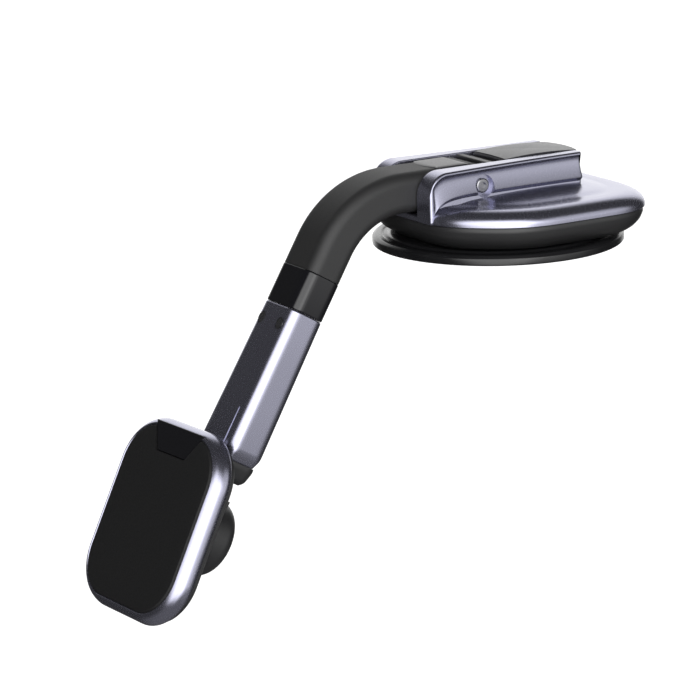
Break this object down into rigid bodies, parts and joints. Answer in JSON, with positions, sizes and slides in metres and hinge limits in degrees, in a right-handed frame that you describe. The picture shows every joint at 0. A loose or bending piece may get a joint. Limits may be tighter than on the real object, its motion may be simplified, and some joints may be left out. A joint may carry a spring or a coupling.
{
  "type": "car phone mount",
  "caption": "Suction base with lock lever, tilting curved arm, telescopic tube and a magnetic ball-jointed head that holds a phone.",
  "frame": {"origin": "centre of the suction cup's sticking face, with the lever locked", "axes": "+Z away from the surface the cup sticks to; the arm leaves towards -Y and hangs below the face; X is the axis the arm tilts about, and +X is on the right when +Y is ahead"},
  "size_m": [0.0732, 0.1659, 0.1133],
  "materials": {
    "gunmetal": "satin",
    "gloss_black": "gloss",
    "black_plastic": "satin",
    "grey_plastic": "satin",
    "neck_plastic": "fine matte",
    "inner_plastic": "matte",
    "fibre": "matte",
    "soft_rubber": "smooth",
    "pad_rubber": "soft matte",
    "steel": "turned",
    "magnet": "plated"
  },
  "bodies": {
    "base": {"suction_cup": "soft_rubber", "lower_shell": "black_plastic", "upper_shell": "gunmetal", "chassis": "inner_plastic", "cam_plate": "steel", "base_screws": "steel", "bridge": "black_plastic", "pivot_bolt": "steel", "pivot_nut": "steel", "return_spring": "steel"},
    "stem": {"cup_stem": "steel", "lever_pin": "steel"},
    "lever": {"lock_lever": "black_plastic", "lever_cover": "grey_plastic"},
    "arm": {"neck": "neck_plastic", "neck_cap": "grey_plastic", "friction_washers": "fibre", "collar": "gloss_black", "tube": "gunmetal", "tube_screws": "steel", "tube_bush": "black_plastic", "brake_pad": "fibre"},
    "rod": {"inner_rod": "gloss_black", "rod_shoe": "inner_plastic", "ball_socket": "black_plastic", "socket_screw": "steel"},
    "nut": {"ring_nut": "black_plastic"},
    "liner": {"ball_liner": "inner_plastic"},
    "stud": {"ball_stud": "steel"},
    "head": {"back_cover": "black_plastic", "head_rim": "gunmetal", "magnet_tray": "inner_plastic", "magnets": "magnet", "steel_yoke": "steel", "head_screws": "steel", "face_pad": "pad_rubber", "tab": "gloss_black"}
  },
  "joints": [
    {"name": "stem_slide", "type": "slide", "parent": "base", "child": "stem", "axis": [0, 0, 1], "range_m": [-0.002, 0], "deforming": ["suction_cup", "return_spring"]},
    {"name": "lock_lever_hinge", "type": "hinge", "parent": "stem", "child": "lever", "pos_m": [0, 0, 0.0185], "axis": [1, 0, 0], "range_deg": [0, 65]},
    {"name": "arm_tilt", "type": "hinge", "parent": "base", "child": "arm", "pos_m": [0, -0.013, 0.019], "axis": [-1, 0, 0], "range_deg": [-1, 75]},
    {"name": "rod_slide", "type": "slide", "parent": "arm", "child": "rod", "axis": [0, -0.515, -0.8572], "range_m": [0, 0.0195]},
    {"name": "ring_nut_turn", "type": "hinge", "parent": "rod", "child": "nut", "pos_m": [0, -0.10231, -0.06853], "axis": [0, -0.8572, 0.515], "range_deg": [-90, 90]},
    {"name": "head_pitch", "type": "hinge", "parent": "rod", "child": "liner", "pos_m": [0, -0.10231, -0.06853], "axis": [0.9965, 0.0837, 0], "range_deg": [-4, 16]},
    {"name": "head_yaw", "type": "hinge", "parent": "liner", "child": "stud", "pos_m": [0, -0.10231, -0.06853], "axis": [-0.0379, 0.4508, 0.8918], "range_deg": [-10, 10]},
    {"name": "head_turn", "type": "hinge", "parent": "stud", "child": "head", "pos_m": [0, -0.10231, -0.06853], "axis": [0.0746, -0.8887, 0.4524], "continuous": true}
  ],
  "couplings": [
    {"joint": "lock_lever_hinge", "follows": "stem_slide", "rad_per_m": -567.2}
  ]
}
